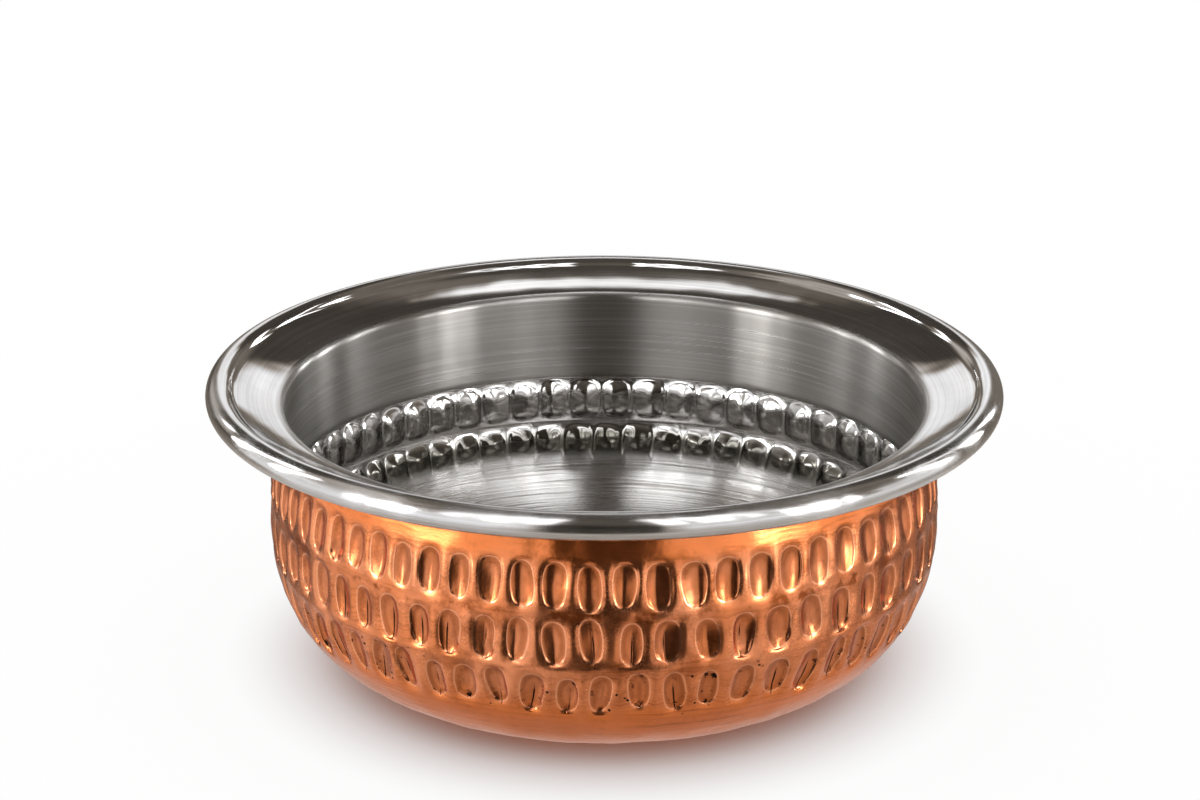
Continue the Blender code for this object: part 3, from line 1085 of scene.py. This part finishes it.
def copper_shell(hammer, unevenness, material):
    outside = copper_face(
        0, 0, FINE_LINES, FINE_COLUMNS, corner_steps=16, neck_steps=10, lip_steps=6, facing=1
    )
    back = copper_face(
        COPPER_BACK,
        COPPER_TUCK,
        COARSE_LINES,
        COARSE_COLUMNS,
        corner_steps=8,
        neck_steps=4,
        lip_steps=3,
        facing=-1,
    )
    mesh = blank_mesh("hammered_copper_shell", outside + back[::-1])
    piece = new_piece("hammered_copper_shell", mesh, material)
    strike_row(piece, hammer, UPPER_ROW, UPPER_STRIKE, material)
    strike_row(piece, hammer, MIDDLE_ROW, MIDDLE_STRIKE, material)
    strike_row(piece, hammer, LOWER_ROW, LOWER_STRIKE, material)
    add_modifier(
        piece,
        unevenness,
        {
            "Amount": COPPER_UNEVENNESS,
            "Size": UNEVENNESS_SIZE,
            "Groove height": GROOVE_HEIGHT,
            "Groove depth": GROOVE_DEPTH,
            "Groove width": GROOVE_WIDTH,
            "Material": material,
        },
    )
    settled(piece)
    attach(piece, "root")
    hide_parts("copper_outer_shell")


# Steps of the rim's section along the wall, the throat's bend, the flare and the bead
FINE_RIM = 14, 8, 12, 30
COARSE_RIM = 4, 4, 4, 14


def steel_bowl(hammer, unevenness, material):
    back = steel_face(
        STEEL_BACK, STEEL_TUCK, COARSE_LINES, COARSE_COLUMNS, corner_steps=8, rim_steps=COARSE_RIM, facing=1
    )
    inside = steel_face(
        STEEL_FRONT, 0, FINE_LINES, FINE_COLUMNS, corner_steps=14, rim_steps=FINE_RIM, facing=-1
    )
    mesh = blank_mesh("spun_steel_bowl", back + inside[::-1])
    piece = new_piece("spun_steel_bowl", mesh, material)
    strike_row(piece, hammer, INNER_MIDDLE_ROW, INNER_MIDDLE_STRIKE, material)
    strike_row(piece, hammer, INNER_LOWER_ROW, INNER_LOWER_STRIKE, material)
    values = {"Amount": STEEL_UNEVENNESS, "Size": UNEVENNESS_SIZE, "Material": material}
    add_modifier(piece, unevenness, values)
    settled(piece)
    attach(piece, "root")
    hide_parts("steel_inner_bowl")


WHITE = colour(1.0, 1.0, 1.0)
FLOOR_SIZE = 6.0
FLOOR_COLOUR = colour(0.985, 0.98, 0.98)
SHADOW_START = 62 * MM
SHADOW_END = 100 * MM
FLOOR_GLOW = 0.93


def pale_floor():
    """White floor that keeps the bowl's shadow. Away from the bowl the camera sees it as plain white."""
    mesh = bpy.data.meshes.new("floor")
    half = FLOOR_SIZE / 2
    corners = [(-half, -half, 0), (half, -half, 0), (half, half, 0), (-half, half, 0)]
    mesh.from_pydata(corners, [], [(0, 1, 2, 3)])
    material = bpy.data.materials.new("floor")
    tree = bare_tree(material)
    away = object_place(tree).radius.between(SHADOW_START, SHADOW_END)
    glow = away * FLOOR_GLOW * ray_kind(tree, "Is Camera Ray")
    matt = add_node(tree, "ShaderNodeBsdfDiffuse", Color=FLOOR_COLOUR)
    white = add_node(tree, "ShaderNodeEmission", Color=WHITE)
    mix = tree.nodes.new("ShaderNodeMixShader")
    for slot, value in zip(mix.inputs, (glow, matt.outputs[0], white.outputs[0])):
        feed(tree, value, slot)
    show(tree, mix)
    floor = new_piece("floor", mesh, material)
    floor.visible_glossy = False


# The studio that the metal mirrors: a sphere round the bowl with soft-edged panels of light and
# shade. Directions are in degrees, turn from the back (+Y) towards +X and rise from the horizon
Panel = namedtuple("Panel", "turn rise half_turn half_rise softness light")
STUDIO_PANELS = (
    # Table, lit from the left and the right
    Panel(0, -90, 360, 64, 12, 0.58),
    Panel(0, -90, 360, 32, 14, 0.44),
    Panel(-112, -28, 40, 18, 8, 0.85),
    Panel(125, -26, 36, 14, 8, 0.70),
    # Ceiling
    Panel(0, 90, 360, 26, 6, 0.07),
    # Big soft light on the left, with its dim shoulder
    Panel(-112, 30, 52, 11, 5, 0.60),
    Panel(-112, 4, 52, 18, 5, 1.05),
    Panel(-78, 50, 32, 9, 6, 0.55),
    # Big soft light on the right, with a post before it
    Panel(119, 4, 50, 18, 5, 1.05),
    Panel(104, 16, 2.5, 12, 2, 0.30),
    # Hot lamps in strips over the soft lights, first on the left and then on the right
    Panel(-161, 43, 4, 23, 2, 3.2),
    Panel(-149, 43, 4.5, 23, 2, 3.4),
    Panel(-137, 42, 3.5, 21, 2, 2.6),
    Panel(-126, 12, 1.8, 14, 1.2, 13.0),
    Panel(-118, 12, 3.0, 14, 1.2, 14.0),
    Panel(-109, 12, 1.4, 14, 1.2, 9.0),
    Panel(-80, 22, 2.5, 17, 1.5, 8.0),
    Panel(-60, 24, 3, 18, 1.5, 12.0),
    Panel(-42, 24, 2.5, 14, 1.5, 10.0),
    Panel(161, 43, 4, 23, 2, 3.2),
    Panel(149, 43, 4.5, 23, 2, 3.4),
    Panel(137, 42, 3.5, 21, 2, 2.6),
    Panel(126, 44, 2.5, 18, 2, 2.0),
    Panel(127, 12, 1.8, 14, 1.2, 13.0),
    Panel(119, 12, 3.0, 14, 1.2, 14.0),
    Panel(109, 12, 1.4, 14, 1.2, 9.0),
    Panel(74, 22, 2.5, 17, 1.5, 8.0),
    Panel(55, 24, 3, 18, 1.5, 12.0),
    Panel(39, 24, 2.5, 14, 1.5, 10.0),
    # Dark backdrop, and two lamps before it, one low and one high
    Panel(0, 37, 58, 13, 5, 0.06),
    Panel(-38, 14, 14, 6, 4, 0.55),
    Panel(-42, 1, 24, 4, 3, 0.06),
    Panel(-1, 18, 12, 8, 2.5, 1.15),
    Panel(-1, 54, 12, 5.5, 2, 1.6),
    # The dark stand of the camera
    Panel(180, 46, 13, 26, 3, 0.11),
    Panel(180, -7, 19, 32, 6, 0.04),
)
STUDIO_RADIUS = 2.5
STUDIO_WALL = 0.18
CLUTTER = 0.45
CLUTTER_SCALE = 2.2
WARM_SHADE = colour(1.15, 1.0, 0.85)
COOL_LIGHT = colour(1.0, 1.0, 1.02)
WARM_TO_COOL = 0.1, 1.0
FLOOR_SEES = 0.3
SPHERE_SUBDIVISIONS = 5


def panel_mask(tree, turn, rise, panel):
    """1 inside a panel, 0 outside it."""
    around = ((turn - panel.turn + 540).math("FLOORED_MODULO", 360) - 180).math("ABSOLUTE")
    up = (rise - panel.rise).math("ABSOLUTE")
    soft = panel.softness
    mask_turn = 1 - around.between(panel.half_turn - soft, panel.half_turn + soft)
    mask_rise = 1 - up.between(panel.half_rise - soft, panel.half_rise + soft)
    return mask_turn * mask_rise


def studio_sphere():
    """Only mirrored in the metal: it doesn't light the floor and isn't seen itself."""
    material = bpy.data.materials.new("studio")
    material.cycles.emission_sampling = "NONE"
    tree = bare_tree(material)
    place = object_place(tree)
    turn = place.x.math("ARCTAN2", place.y) * (360 / TURN)
    rise = place.z.math("ARCTAN2", place.radius) * (360 / TURN)
    tone = STUDIO_WALL
    for panel in STUDIO_PANELS:
        tone = tone + (panel.light - tone) * panel_mask(tree, turn, rise, panel)
    clutter = noise_of(tree, place.vector, CLUTTER_SCALE, detail=3.0)
    tone = tone * (1 - CLUTTER + clutter * 2 * CLUTTER)
    after_floor = ray_kind(tree, "Diffuse Depth").math("MINIMUM", 1)
    tone = tone + (FLOOR_SEES - tone) * after_floor
    tint = mixed(tree, tone.between(*WARM_TO_COOL), WARM_SHADE, COOL_LIGHT)
    show(tree, add_node(tree, "ShaderNodeEmission", Color=tint, Strength=tone))
    mesh = bpy.data.meshes.new("studio")
    shape = bmesh.new()
    bmesh.ops.create_icosphere(shape, subdivisions=SPHERE_SUBDIVISIONS, radius=STUDIO_RADIUS)
    shape.to_mesh(mesh)
    shape.free()
    studio = new_piece("studio", mesh, material)
    studio.visible_camera = False
    studio.visible_diffuse = False
    studio.visible_shadow = False
    studio.visible_volume_scatter = False


WORLD_LIGHT = 1.0


def studio_world():
    """Even white light from all round, which is also what is seen past the floor."""
    world = bpy.data.worlds.new("studio")
    tree = bare_tree(world)
    lit = add_node(tree, "ShaderNodeBackground", Color=WHITE, Strength=WORLD_LIGHT)
    show(tree, lit, "ShaderNodeOutputWorld")
    bpy.context.scene.world = world


# The photograph's viewpoint
CAMERA_AIM = Vector((0, 0, 35 * MM))
CAMERA_DISTANCE = 768.7 * MM
CAMERA_RISE = math.radians(22.02)
CAMERA_ROLL = math.radians(0.128)
SENSOR_WIDTH = 36.0
IMAGE_WIDTH = 1200
FOCAL_PIXELS = 3010.3
AIM_RIGHT_PIXELS = 4.1
AIM_DOWN_PIXELS = 117.0
FARTHEST_SEEN = 20.0


def photograph_camera():
    data = bpy.data.cameras.new("camera")
    data.sensor_width = SENSOR_WIDTH
    data.lens = FOCAL_PIXELS * SENSOR_WIDTH / IMAGE_WIDTH
    data.shift_x = -AIM_RIGHT_PIXELS / IMAGE_WIDTH
    data.shift_y = AIM_DOWN_PIXELS / IMAGE_WIDTH
    data.clip_end = FARTHEST_SEEN
    camera = bpy.data.objects.new("camera", data)
    bpy.context.scene.collection.objects.link(camera)
    turn = Matrix.Rotation(math.pi / 2 - CAMERA_RISE, 4, "X") @ Matrix.Rotation(CAMERA_ROLL, 4, "Z")
    camera.matrix_world = Matrix.Translation(CAMERA_AIM) @ turn @ Matrix.Translation((0, 0, CAMERA_DISTANCE))
    bpy.context.scene.camera = camera


def main():
    spun_lines = spun_lines_group()
    hammer = hammer_tree()
    unevenness = unevenness_tree()
    copper_shell(hammer, unevenness, copper_finish(spun_lines, pits_group()))
    steel_bowl(hammer, unevenness, steel_finish(spun_lines))
    pale_floor()
    studio_sphere()
    studio_world()
    photograph_camera()
    bpy.context.scene.view_settings.view_transform = "Standard"


main()
